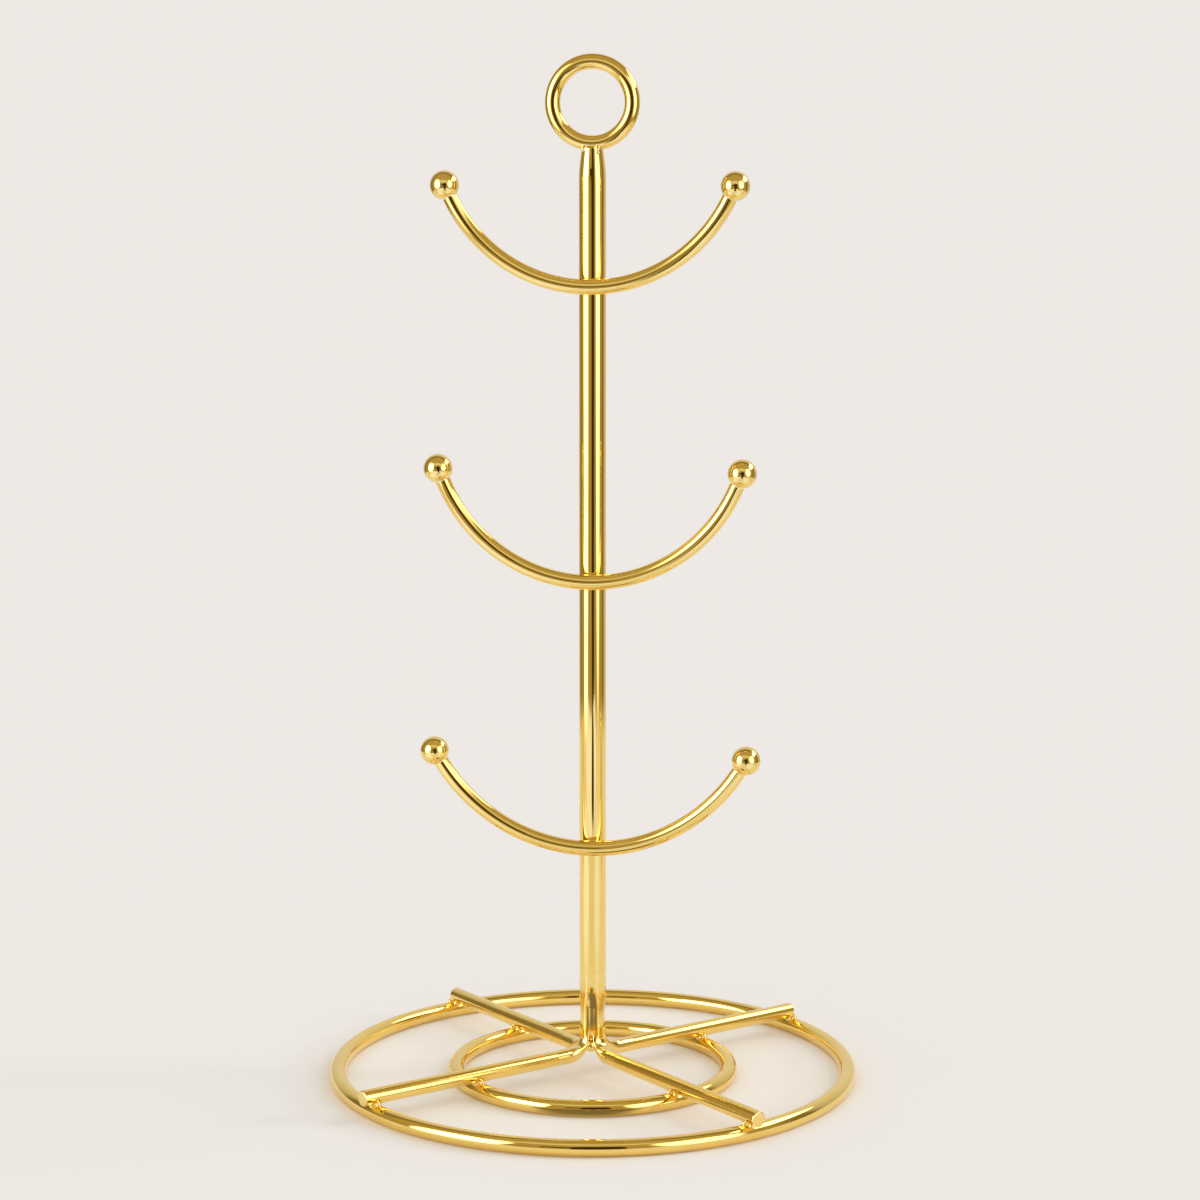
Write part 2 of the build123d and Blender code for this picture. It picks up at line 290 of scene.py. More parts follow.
def make_polish():
    """Buffed metal: the gloss has hazy patches and fine stray scratches, and the surface rolls a little."""
    group, takes, gives = start_group(
        "polish", ("Place", "Buffed", "Hazed", "Haze Size", "Scratch Depth", "Roll Depth"),
        ("Roughness", "Height"),
    )
    scratches = None
    for turn in SCRATCH_TURNS:
        laid = add_node(group, "Mapping", Vector=takes["Place"], Rotation=turn, Scale=SCRATCH_GRAIN)
        streaks = grain(group, laid.outputs["Vector"], 1.0, detail=1.0)
        line = span(group, streaks, *SCRATCH_SPAN, 0.0, 1.0)
        scratches = line if scratches is None else sum_up(group, "MAXIMUM", scratches, line)
    haze = grain(group, takes["Place"], takes["Haze Size"], detail=4.0, Roughness=0.6)
    gloss = span(group, haze, *HAZE_SPAN, takes["Buffed"], takes["Hazed"])
    group.links.new(add_share(group, gloss, scratches, SCRATCH_HAZE), gives["Roughness"])
    roll = grain(group, takes["Place"], ROLL_GRAIN, detail=1.0)
    rolled = sum_up(group, "MULTIPLY", roll, takes["Roll Depth"])
    cut = sum_up(group, "MULTIPLY", scratches, takes["Scratch Depth"])
    group.links.new(sum_up(group, "SUBTRACT", rolled, cut), gives["Height"])
    return group


def make_drawn_lines():
    """Faint lines along a wire, left by the die that it was drawn through."""
    group, takes, gives = start_group("drawn_lines", ("Place", "Depth"), ("Height",))
    fine = grain(group, stretch(group, takes["Place"], FINE_DRAWN_GRAIN), 1.0, detail=2.0)
    wide = grain(group, stretch(group, takes["Place"], WIDE_DRAWN_GRAIN), 1.0, detail=1.0)
    both = sum_up(group, "ADD", fine, wide)
    group.links.new(sum_up(group, "MULTIPLY", both, takes["Depth"]), gives["Height"])
    return group


def make_turned_lines():
    """Fine rings round the upright axis, left by a lathe tool."""
    group, takes, gives = start_group("turned_lines", ("Place", "Depth"), ("Height",))
    parts = add_node(group, "SeparateXYZ", Vector=takes["Place"]).outputs
    squares = [sum_up(group, "POWER", parts[axis], 2.0) for axis in ("X", "Y")]
    reach = sum_up(group, "SQRT", sum_up(group, "ADD", *squares))
    laid = add_node(group, "CombineXYZ", X=reach, Z=parts["Z"])
    rings = grain(group, laid.outputs["Vector"], TURNED_GRAIN, detail=2.0)
    group.links.new(sum_up(group, "MULTIPLY", rings, takes["Depth"]), gives["Height"])
    return group


def make_sawn_end():
    """A rod's sawn and filed end: straight marks across it."""
    group, takes, gives = start_group("sawn_end", ("Place", "Depth"), ("End", "Height"))
    along = add_node(group, "SeparateXYZ", Vector=takes["Place"]).outputs["X"]
    end = span(group, along, *SAWN_SPAN, 1.0, 0.0)
    laid = add_node(group, "Mapping", Vector=takes["Place"], Rotation=SAW_TURN, Scale=SAW_GRAIN)
    marks = grain(group, laid.outputs["Vector"], 1.0, detail=3.0)
    cut = sum_up(group, "MULTIPLY", marks, takes["Depth"])
    group.links.new(end, gives["End"])
    group.links.new(sum_up(group, "MULTIPLY", cut, end), gives["Height"])
    return group


def make_edge_wear():
    """Plating rubbed thin along an edge, further in at some places than at others."""
    group, takes, gives = start_group("edge_wear", ("Place", "Reach", "Width", "Amount"), ("Wear",))
    breaks = grain(group, takes["Place"], WEAR_GRAIN, detail=3.0)
    ragged = span(group, breaks, *WEAR_SPAN, LEAST_WEAR, 1.0)
    share = sum_up(group, "DIVIDE", takes["Reach"], sum_up(group, "MULTIPLY", takes["Width"], ragged))
    group.links.new(span(group, share, 0.0, 1.0, takes["Amount"], 0.0), gives["Wear"])
    return group


def make_heat_tint():
    """Stains where the flame and the flux browned the metal."""
    group, takes, gives = start_group("heat_tint", ("Place", "Size", "Amount"), ("Tint",))
    stain = grain(group, takes["Place"], takes["Size"], detail=3.0, Distortion=0.6)
    group.links.new(span(group, stain, *HEAT_SPAN, 0.0, takes["Amount"]), gives["Tint"])
    return group


PLATING_TONE = make_plating_tone()
POLISH = make_polish()
DRAWN_LINES = make_drawn_lines()
TURNED_LINES = make_turned_lines()
SAWN_END = make_sawn_end()
EDGE_WEAR = make_edge_wear()
HEAT_TINT = make_heat_tint()


def make_gold(
    name, bright=BRIGHT_GOLD, deep=DEEP_GOLD, patch=60.0, buffed=0.04, hazed=0.065, scratch=4e-8,
    roll=1.5e-6, drawn=0, lathe=0, sawn=0, worn=0, heat=0,
):
    """A polished gold-plate finish, with the marks of the way that the piece was made; depths in metres."""
    finish = bpy.data.materials.new(name)
    finish.use_nodes = True
    tree = finish.node_tree
    surface = tree.nodes["Principled BSDF"]
    surface.inputs["Metallic"].default_value = 1.0
    place = add_node(tree, "TexCoord").outputs["Object"]
    colour = place_group(
        tree, PLATING_TONE, Place=place, Bright=bright, Deep=deep, Patch_Size=patch, Patchiness=PATCHINESS
    )["Color"]
    polish = place_group(
        tree, POLISH, Place=place, Buffed=buffed, Hazed=hazed, Haze_Size=patch * HAZE_TO_PATCH,
        Scratch_Depth=scratch, Roll_Depth=roll,
    )
    roughness, height = polish["Roughness"], polish["Height"]
    along = read_attribute(tree, WIRE_PLACE)["Vector"] if drawn or sawn else None
    if drawn:
        lines = place_group(tree, DRAWN_LINES, Place=along, Depth=drawn)
        height = sum_up(tree, "ADD", height, lines["Height"])
    if lathe:
        rings = place_group(tree, TURNED_LINES, Place=place, Depth=lathe)
        height = sum_up(tree, "ADD", height, rings["Height"])
    if sawn:
        marks = place_group(tree, SAWN_END, Place=along, Depth=sawn)
        height = sum_up(tree, "ADD", height, marks["Height"])
        roughness = add_share(tree, roughness, marks["End"], SAWN_HAZE)
    if worn:
        reach = read_attribute(tree, EDGE_REACH)["Fac"]
        wear = place_group(tree, EDGE_WEAR, Place=place, Reach=reach, Width=worn, Amount=WEAR_AMOUNT)["Wear"]
        colour = blend(tree, wear, colour, THIN_GOLD)
        roughness = add_share(tree, roughness, wear, WORN_HAZE)
    if heat:
        tint = place_group(tree, HEAT_TINT, Place=place, Size=patch, Amount=heat)["Tint"]
        colour = blend(tree, tint, colour, HEAT_BROWN)
        roughness = add_share(tree, roughness, tint, HEAT_HAZE)
    relief = add_node(tree, "Bump", Strength=1.0, Distance=1.0, Height=height).outputs["Normal"]
    set_inputs(tree, surface, {"Base Color": colour, "Roughness": roughness, "Normal": relief})
    return finish


WIRE_GOLD = make_gold("wire_gold", drawn=8e-8, worn=5e-4)
LEG_GOLD = make_gold("leg_gold", buffed=0.11, hazed=0.15, drawn=1.2e-7, sawn=4e-6, worn=6e-4)
FOOT_GOLD = make_gold(
    "foot_gold", PALE_GOLD, BRIGHT_GOLD, patch=200.0, buffed=0.09, hazed=0.13, scratch=6e-8, roll=3e-6,
    heat=0.15,
)
POST_GOLD = make_gold("post_gold", patch=45.0, drawn=6e-8, worn=5e-4)
CAP_GOLD = make_gold("cap_gold", patch=45.0, buffed=0.05, hazed=0.08, roll=1.0e-6, lathe=1.2e-7, worn=5e-4)
BALL_GOLD = make_gold(
    "ball_gold", deep=PALE_GOLD, patch=120.0, buffed=0.03, hazed=0.045, scratch=2e-8, roll=5e-7
)
BRAZE_GOLD = make_gold(
    "braze_gold", FILLER_GOLD, PALE_GOLD, patch=500.0, buffed=0.06, hazed=0.12, scratch=6e-8, roll=4e-6,
    heat=0.35,
)


# Shapes

def edges_among(verts):
    """The edges that run between the given points."""
    kept = set(verts)
    return [e for e in {e for v in kept for e in v.link_edges} if e.verts[0] in kept and e.verts[1] in kept]


def open_rim(shape, radius, centre, facing):
    """The open end that a wire starts from."""
    turn = facing.to_track_quat("Z", "Y").to_matrix().to_4x4()
    matrix = Matrix.Translation(centre) @ turn
    made = bmesh.ops.create_circle(shape, radius=radius, segments=WIRE_SIDES, matrix=matrix)
    return edges_among(made["verts"])


def run_on(shape, rim, step, parts=1):
    """Carry a wire's end straight on, in equal parts."""
    for _ in range(parts):
        made = bmesh.ops.extrude_edge_only(shape, edges=rim)["geom"]
        verts = [g for g in made if isinstance(g, bmesh.types.BMVert)]
        bmesh.ops.translate(shape, verts=verts, vec=Vector(step) / parts)
        rim = edges_among(verts)
    return rim


def bend_on(shape, rim, centre, axis, angle, steps):
    """Carry a wire's end round a bend."""
    verts = list({v for e in rim for v in e.verts})
    made = bmesh.ops.spin(shape, geom=verts + rim, cent=centre, axis=axis, angle=angle, steps=steps)
    return [g for g in made["geom_last"] if isinstance(g, bmesh.types.BMEdge)]


def close_end(shape, rim, rounding=0.0):
    """Close a wire's end, with its edge rounded over."""
    bmesh.ops.contextual_create(shape, geom=rim)
    if rounding:
        bmesh.ops.bevel(
            shape, geom=rim, offset=rounding, offset_type="OFFSET", affect="EDGES", segments=END_ROUND_STEPS,
            profile=0.5, material=-1,
        )


def settle(shape):
    """Merge doubled points and turn every face outwards."""
    bmesh.ops.remove_doubles(shape, verts=shape.verts[:], dist=MERGE)
    bmesh.ops.recalc_face_normals(shape, faces=shape.faces[:])
    return shape


def capped(shape, *rims):
    """A length of wire with its ends closed."""
    for rim in rims:
        close_end(shape, rim)
    return settle(shape)


def cut_below(shape, height):
    """Cut away what lies below a height, and give the edges of the cut."""
    cut = bmesh.ops.bisect_plane(
        shape, geom=shape.verts[:] + shape.edges[:] + shape.faces[:], dist=CUT_MERGE, plane_co=UP * height,
        plane_no=UP, clear_inner=True,
    )["geom_cut"]
    return [g for g in cut if isinstance(g, bmesh.types.BMEdge)]


def spin_round(shape, steps, axis=UP, centre=ORIGIN):
    """Turn a whole outline about an axis, as on a lathe."""
    bmesh.ops.spin(
        shape, geom=shape.verts[:] + shape.edges[:], cent=centre, axis=axis, angle=FULL_TURN, steps=steps,
        use_merge=True,
    )
    return settle(shape)


def turned(outline, closed=False, steps=LATHE_STEPS):
    """A turned piece, from the corners of its outline as (radius, height)."""
    shape = bmesh.new()
    corners = [shape.verts.new((radius, 0, height)) for radius, height in outline]
    for one, two in zip(corners, corners[1:] + (corners[:1] if closed else [])):
        shape.edges.new((one, two))
    return spin_round(shape, steps)


def arc(centre, radius, start, end, steps):
    """Corners of an outline along an arc, between two angles in degrees."""
    angles = [math.radians(start + (end - start) * n / steps) for n in range(steps + 1)]
    return [(centre[0] + radius * math.cos(a), centre[1] + radius * math.sin(a)) for a in angles]


def wire_ring(radius, wire, centre, axis, steps):
    """A closed ring of round wire, starting on the right."""
    shape = bmesh.new()
    open_rim(shape, wire, centre + ACROSS * radius, axis.cross(ACROSS))
    return spin_round(shape, steps, axis, centre)


def bow_of_wire(radius, wire, centre, axis, middle, angle, steps):
    """A short closed bow of wire, half its angle each side of a middle direction."""
    shape = bmesh.new()
    start = Matrix.Rotation(-angle / 2, 3, axis) @ middle
    rim = open_rim(shape, wire, centre + start * radius, axis.cross(start))
    first = list(rim)
    last = bend_on(shape, rim, centre, axis, angle, steps)
    return capped(shape, first, last)


def nugget(radius, centre):
    """A closed round nugget of filler."""
    shape = bmesh.new()
    place = Matrix.Translation(centre)
    bmesh.ops.create_uvsphere(
        shape, u_segments=2 * NUGGET_STEPS, v_segments=NUGGET_STEPS, radius=radius, matrix=place
    )
    return shape


def join(shapes, mesh):
    """One shape from several, by way of a mesh."""
    joined = bmesh.new()
    for shape in shapes:
        shape.to_mesh(mesh)
        shape.free()
        joined.from_mesh(mesh)
    return joined


def melted(shapes, flow, passes):
    """Filler: closed shapes run together on a fine grain and smoothed, so that creases fill to fillets."""
    pool = bpy.data.meshes.new("pool")
    joined = join(shapes, pool)
    joined.to_mesh(pool)
    joined.free()
    holder = bpy.data.objects.new("pool", pool)
    bpy.context.collection.objects.link(holder)
    remesh = holder.modifiers.new("flow", "REMESH")
    remesh.mode = "VOXEL"
    remesh.voxel_size = flow
    flowed = holder.evaluated_get(bpy.context.evaluated_depsgraph_get())
    run_together = bpy.data.meshes.new_from_object(flowed)
    result = bmesh.new()
    result.from_mesh(run_together)
    bpy.data.objects.remove(holder)
    bpy.data.meshes.remove(pool)
    bpy.data.meshes.remove(run_together)
    for _ in range(passes):
        bmesh.ops.smooth_vert(
            result, verts=result.verts[:], factor=0.5, use_axis_x=True, use_axis_y=True, use_axis_z=True
        )
    bmesh.ops.recalc_face_normals(result, faces=result.faces[:])
    return result


def put_down(name, shapes, finish, nodes, place=None, edge=None, crease=WIRE_CREASE):
    """Make the shapes one named piece, in metres, in the place of its solid."""
    mesh = bpy.data.meshes.new(name)
    joined = join(shapes, mesh)
    if place is not None:
        layer = joined.verts.layers.float_vector.new(WIRE_PLACE)
        for vert in joined.verts:
            vert[layer] = Vector(place(vert.co)) * MM
    reach_layer = joined.verts.layers.float.new(EDGE_REACH)
    for vert in joined.verts:
        vert[reach_layer] = MM * (edge(vert.co) if edge else FAR_FROM_EDGES)
    bmesh.ops.scale(joined, vec=(MM, MM, MM), verts=joined.verts[:])
    for face in joined.faces:
        face.smooth = True
    joined.to_mesh(mesh)
    joined.free()
    mesh.set_sharp_from_angle(angle=math.radians(crease))
    mesh.materials.append(finish)
    piece = bpy.data.objects.new(name, mesh)
    bpy.context.collection.objects.link(piece)
    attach(piece, "root")
    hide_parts(*nodes)


def put_down_filler(name, shapes, node, finish=BRAZE_GOLD):
    """Put down a piece made of filler."""
    put_down(name, shapes, finish, [node], crease=FILLER_CREASE)


# Base rings, with a flat ground on the underside

def ring_place(radius, centre, flat):
    """Where a point of a ring lies on its wire: along it, and out and up from its middle."""
    def place(point):
        out = point - centre
        side = out.y if flat else out.z
        rise = out.z if flat else out.y
        return radius * math.atan2(side, out.x), math.hypot(out.x, side) - radius, rise
    return place


def ring_edge(radius):
    """How far a point of a base ring is from the edges of its ground flat."""
    return lambda point: math.hypot(abs(math.hypot(point.x, point.y) - radius) - FLAT_HALF, point.z)


def base_ring(radius, steps):
    """A base ring, ground flat where it stands on the table."""
    shape = wire_ring(radius, RING_WIRE, UP * RING_HEIGHT, UP, steps)
    cut_below(shape, 0.0)
    bmesh.ops.bridge_loops(shape, edges=[e for e in shape.edges if e.is_boundary])
    return settle(shape)


for ring_name, (ring_radius, ring_steps) in BASE_RINGS.items():
    put_down(
        f"stand_{ring_name}_ring", [base_ring(ring_radius, ring_steps)], WIRE_GOLD,
        [f"base_{ring_name}_ring"], ring_place(ring_radius, UP * RING_HEIGHT, True), ring_edge(ring_radius),
    )


# Legs

def column_side(height):
    """Radius of the ground foot at a height: the tube's, then tapering up into it."""
    return POST_RADIUS - max(height - COLUMN_TAPER_START, 0.0) * COLUMN_TAPER


def ground(point, sink):
    """Put a point of a leg that stands proud of the ground foot back on its surface."""
    reach, height = math.hypot(point.x, point.y), point.z
    side, floor = column_side(height) - sink, DRESSING_FLOOR - sink
    middle_reach, middle_height = side + LEG_DRESSING, floor + LEG_DRESSING
    new_reach, new_height = reach, height
    if height >= middle_height:
        lobed = min(max((LOBE_TOP - height) / (LOBE_TOP - LOBE_FULL), 0.0), 1.0)
        proud = LOBE_ROOT + (reach - LOBE_ROOT) * LOBE_SHARE - sink
        new_reach = min(reach, side + (proud - side) * lobed * lobed * (3 - 2 * lobed))
    elif reach >= middle_reach:
        new_height = min(height, floor)
    else:
        inside = math.hypot(middle_reach - reach, middle_height - height)
        if inside < LEG_DRESSING:
            new_reach = middle_reach - (middle_reach - reach) * LEG_DRESSING / inside
            new_height = middle_height - (middle_height - height) * LEG_DRESSING / inside
    return Vector((point.x * new_reach / reach, point.y * new_reach / reach, new_height))


def rod_middle(point):
    """The middle of a leg's rod next to one of its points, before the leg is turned to its place."""
    if point.x >= BEND_REACH:
        return Vector((point.x, 0, LEG_HEIGHT))
    if point.z >= BEND_TOP:
        return Vector((LEG_OFFSET, 0, point.z))
    angle = math.atan2(BEND_REACH - point.x, BEND_TOP - point.z)
    return Vector((BEND_REACH - LEG_BEND * math.sin(angle), 0, BEND_TOP - LEG_BEND * math.cos(angle)))


def leg_rod(turn, reach, sink_near=0.0, sink_far=0.0, top=POST_FOOT, rounding=LEG_END_ROUND):
    """A leg: in over both rings, round the bend and up, sunk by one depth at the foot and one outside it."""
    shape = bmesh.new()
    rim = open_rim(shape, LEG_WIRE, (reach, 0, LEG_HEIGHT), -ACROSS)
    outer_rim = list(rim)
    stops = [reach] + [stop for stop in (FOOT_FAR, FOOT_NEAR) if stop < reach] + [BEND_REACH]
    for one, two in zip(stops, stops[1:]):
        rim = run_on(shape, rim, (two - one, 0, 0))
    rim = bend_on(shape, rim, (BEND_REACH, 0, BEND_TOP), -FORWARD, math.pi / 2, BEND_STEPS)
    rim = run_on(shape, rim, (0, 0, top - BEND_TOP), STUB_STEPS)
    close_end(shape, rim)
    close_end(shape, outer_rim, rounding)
    for vert in shape.verts:
        share = min(max((FOOT_FAR - vert.co.x) / (FOOT_FAR - FOOT_NEAR), 0.0), 1.0)
        middle = rod_middle(vert.co)
        sink = sink_far + (sink_near - sink_far) * share
        vert.co = ground(middle + (vert.co - middle) * (1 - sink / LEG_WIRE), sink)
    matrix = Matrix.Rotation(math.radians(turn), 3, "Z")
    bmesh.ops.rotate(shape, cent=ORIGIN, matrix=matrix, verts=shape.verts[:])
    return settle(shape)


def leg_place(turn, reach):
    """Where a point of a leg lies on its rod: in from its outer end, and up and across from its middle."""
    unturn = Matrix.Rotation(-math.radians(turn), 3, "Z")

    def place(point):
        flat = unturn @ point
        if flat.x >= BEND_REACH:
            return reach - flat.x, flat.z - LEG_HEIGHT, flat.y
        if flat.z > BEND_TOP:
            along = reach - BEND_REACH + LEG_BEND * math.pi / 2 + flat.z - BEND_TOP
            return along, LEG_OFFSET - flat.x, flat.y
        angle = math.atan2(BEND_REACH - flat.x, BEND_TOP - flat.z)
        off = LEG_BEND - math.hypot(BEND_REACH - flat.x, BEND_TOP - flat.z)
        return reach - BEND_REACH + LEG_BEND * angle, off, flat.y
    return place


ROUND_MIDDLE = LEG_END_ROUND * (1 - math.sqrt(0.5))  # how far in the middle of the rounded edge lies


def leg_edge(turn, reach):
    """How far a point of a leg is from the rounded edge of its sawn end."""
    place = leg_place(turn, reach)

    def edge(point):
        along, up, across = place(point)
        return math.hypot(along - ROUND_MIDDLE, math.hypot(up, across) - LEG_WIRE + ROUND_MIDDLE)
    return edge


def leg_reach(name):
    """How far a leg reaches out from the stand's middle."""
    return LEG_REACHES[name.split("_")[0]]


for leg_name, leg_turn in LEG_TURNS.items():
    reach = leg_reach(leg_name)
    put_down(
        f"stand_leg_{leg_name}", [leg_rod(leg_turn, reach, sink_near=LEG_UNDER_FILLER)], LEG_GOLD,
        [f"leg_{leg_name}"], leg_place(leg_turn, reach), leg_edge(leg_turn, reach),
    )


# Post, foot and cap

tube = turned(
    [(POST_BORE, POST_FOOT), (POST_RADIUS, POST_FOOT), (POST_RADIUS, POST_TOP - POST_EDGE),
     (POST_RADIUS - POST_EDGE, POST_TOP), (POST_BORE, POST_TOP)],
    closed=True,
)
put_down(
    "stand_post", [tube], POST_GOLD, ["post_tube"],
    lambda point: (point.z, point.x, point.y), lambda point: POST_TOP - point.z,
)


def hub_plug():
    """The plug inside the lower end of the tube, down to the legs."""
    top = POST_FOOT + HUB_PLUG
    return turned([(0, BAND_END), (PLUG_RADIUS, BAND_END), (PLUG_RADIUS, top), (0, top)])


def band_body():
    """The round filler between the legs' upright ends, flush with the tube above and sunk in below."""
    rim = arc((BAND_RADIUS - BAND_ROUND, BAND_END + BAND_ROUND), BAND_ROUND, -90, 0, FILLET_STEPS)
    heights = (BAND_FLUSH, COLUMN_TAPER_START, FOOT_INSIDE)
    upper = [(column_side(height) + FOOT_SWELL, height) for height in heights]
    return turned([(0, BAND_END)] + rim + [(BAND_RADIUS, BAND_SUNK)] + upper + [(0, FOOT_INSIDE)])


def foot_filler():
    """The legs' ends, the bands between them and the filler under the post, run together."""
    stubs = [
        leg_rod(turn, FOOT_FAR + FOOT_OVERLAP, -FOOT_SWELL, STUB_UNDER_LEG, top=FOOT_INSIDE, rounding=0.0)
        for turn in LEG_TURNS.values()
    ]
    ways = (ACROSS, -ACROSS, FORWARD, -FORWARD)
    webs = [nugget(WEB_RADIUS, way * WEB_OUT + UP * WEB_HEIGHT) for way in ways]
    core = nugget(CORE_RADIUS, UP * CORE_HEIGHT)
    return melted(stubs + webs + [band_body(), core], *FOOT_FLOW)


put_down_filler("stand_foot", [hub_plug(), foot_filler()], "foot_hub", FOOT_GOLD)


def cap_corner(share):
    """A corner of the cap's slightly bowed side, at a share of its height."""
    lean = (POST_RADIUS - CAP_TOP_RADIUS) * share
    bulge = CAP_BULGE * math.sin(math.pi * share) * (1 - share)
    return POST_RADIUS - lean + bulge, POST_TOP + (CAP_TOP - POST_TOP) * share


def cap_edge(point):
    """How far a point of the cap is from its upper and lower edges."""
    if CAP_TOP - point.z < FIT_GAP:
        return CAP_TOP_RADIUS - math.hypot(point.x, point.y)
    return min(abs(point.z - POST_TOP), CAP_TOP - point.z)


cap_side = [cap_corner(n / CAP_STEPS) for n in range(CAP_STEPS + 1)]
cap_plug = [(0, POST_TOP - CAP_PLUG), (PLUG_RADIUS, POST_TOP - CAP_PLUG), (PLUG_RADIUS, POST_TOP)]
cap = turned(cap_plug + cap_side + [(0, CAP_TOP)])
put_down("stand_cap", [cap], CAP_GOLD, ["finial_cap"], edge=cap_edge)


# Finial ring and its beads

def finial_bead(radius, right, back, over):
    """A bead of filler under the finial ring."""
    return nugget(radius, (right, back, FINIAL_JOINT + over))


finial_centre = UP * FINIAL_HEIGHT
finial = wire_ring(FINIAL_RADIUS, FINIAL_WIRE, finial_centre, -FORWARD, FINIAL_STEPS)
finial_place = ring_place(FINIAL_RADIUS, finial_centre, False)
put_down("stand_finial_ring", [finial], WIRE_GOLD, ["finial_ring"], finial_place)
finial_stub = bow_of_wire(
    FINIAL_RADIUS, FINIAL_WIRE - FILLER_SHRINK, finial_centre, -FORWARD, -UP, FINIAL_STUB_ANGLE,
    FINIAL_STUB_STEPS,
)
cap_stub_side = [(radius - FILLER_SHRINK, height) for radius, height in cap_side if height > CAP_STUB_START]
cap_stub = turned([(0, CAP_STUB_START)] + cap_stub_side + [(0, CAP_TOP)])
finial_beads = [finial_bead(*bead) for bead in FINIAL_BEADS]
finial_drops = [finial_bead(*drop) for drop in FINIAL_DROPS]
finial_filler = melted([finial_stub, cap_stub] + finial_beads, *FINIAL_FLOW)
put_down_filler("stand_finial_braze", [finial_filler] + finial_drops, "finial_braze")


# Arms, balls and their filler

def arm_bow(span_width, rise):
    """Radius of an arm's bow and its angle on each side, up to where the wire runs straight into a ball."""
    radius = ((span_width / 2) ** 2 + rise**2 - BALL_RADIUS**2) / (2 * rise)
    return radius, math.atan2(span_width / 2, radius - rise) - math.atan2(BALL_RADIUS, radius)


def bow_centre(height, radius):
    """The middle that an arm is bent round."""
    return Vector((0, -ARM_FORWARD, height + radius))


def arm_wire(height, span_width, rise):
    """An arm: a bow of wire with a short straight tail inside each ball."""
    radius, angle = arm_bow(span_width, rise)
    centre = bow_centre(height, radius)
    tail = BALL_SOCKET - FIT_GAP
    shape = bmesh.new()
    start = centre + radius * Vector((-math.sin(angle), 0, -math.cos(angle)))
    way_in = Vector((math.cos(angle), 0, -math.sin(angle)))
    way_out = Vector((math.cos(angle), 0, math.sin(angle)))
    rim = open_rim(shape, ARM_WIRE, start - tail * way_in, way_in)
    first = list(rim)
    rim = run_on(shape, rim, tail * way_in)
    rim = bend_on(shape, rim, centre, FORWARD, 2 * angle, ARM_STEPS)
    last = run_on(shape, rim, tail * way_out)
    return capped(shape, first, last)


def arm_place(height, span_width, rise):
    """Where a point of an arm lies on its wire."""
    radius = arm_bow(span_width, rise)[0]
    centre = bow_centre(height, radius)

    def place(point):
        out = point - centre
        return radius * math.atan2(out.x, -out.z), math.hypot(out.x, out.z) - radius, out.y
    return place


def seat_matrix(side, height, span_width, rise):
    """A ball's place, with its own axis pointing back along the arm."""
    angle = arm_bow(span_width, rise)[1]
    centre = Vector((side * span_width / 2, -ARM_FORWARD, height + rise))
    back = Vector((-side * math.cos(angle), 0, -math.sin(angle)))
    return Matrix.Translation(centre) @ back.to_track_quat("Z", "Y").to_matrix().to_4x4()


def seated(shape, seat):
    """A turned shape, moved to its place on an arm's end."""
    bmesh.ops.transform(shape, matrix=seat, verts=shape.verts[:])
    return settle(shape)


def drilled_ball(seat):
    """A ball with a blind hole for the arm's end."""
    hole = ARM_WIRE + FIT_GAP
    mouth = math.degrees(math.asin(hole / BALL_RADIUS))
    floor = BALL_RADIUS - BALL_SOCKET
    outside = arc((0, 0), BALL_RADIUS, -90, 90 - mouth, BALL_ARC_STEPS)
    return seated(turned(outside + [(hole, floor), (0, floor)], steps=BALL_STEPS), seat)


def neck_fillet(seat):
    """The filler ring round the wire where it enters a ball: hollow outside, touching both."""
    reach = BALL_RADIUS + NECK_FILLET
    out = ARM_WIRE + NECK_FILLET
    along = math.sqrt(reach**2 - out**2)
    touch = math.degrees(math.atan2(-along, -out)) % 360
    curve = arc((out, along), NECK_FILLET, 180, touch, FILLET_STEPS)
    inner = ARM_WIRE - NECK_DEPTH
    lip = [(inner, along), (ARM_WIRE - NECK_LIP, along + NECK_RIM)]
    heel = [(inner + NECK_HEEL_IN, along - NECK_HEEL)]
    return seated(turned(lip + curve + heel, closed=True, steps=BALL_STEPS), seat)


def arm_braze(height, span_width, rise):
    """The filler between an arm and the front of the post."""
    half = ARM_STUB_LENGTH / 2
    side = POST_RADIUS - FILLER_SHRINK
    post_stub = turned([(0, height - half), (side, height - half), (side, height + half), (0, height + half)])
    radius = arm_bow(span_width, rise)[0]
    arm_stub = bow_of_wire(
        radius, ARM_WIRE - FILLER_SHRINK, bow_centre(height, radius), FORWARD, -UP, ARM_STUB_LENGTH / radius,
        ARM_STUB_STEPS,
    )
    core = nugget(ARM_NUGGET_RADIUS, (0, -POST_RADIUS - ARM_NUGGET_FORWARD, height))
    return melted([post_stub, arm_stub, core], *ARM_FLOW)


for arm_name, bow in ARMS.items():
    arm = arm_wire(*bow)
    put_down(f"stand_{arm_name}_arm", [arm], WIRE_GOLD, [f"{arm_name}_arm"], arm_place(*bow))
    seats = {side_name: seat_matrix(side, *bow) for side_name, side in SIDES.items()}
    for side_name, seat in seats.items():
        ball_name = f"{arm_name}_{side_name}_ball"
        put_down(f"stand_{ball_name}", [drilled_ball(seat)], BALL_GOLD, [ball_name])
    necks = [neck_fillet(seat) for seat in seats.values()]
    put_down_filler(f"stand_{arm_name}_ball_necks", necks, f"{arm_name}_ball_brazes")
    put_down_filler(f"stand_{arm_name}_arm_braze", [arm_braze(*bow)], f"{arm_name}_arm_braze")


# Filler where the legs cross the base rings

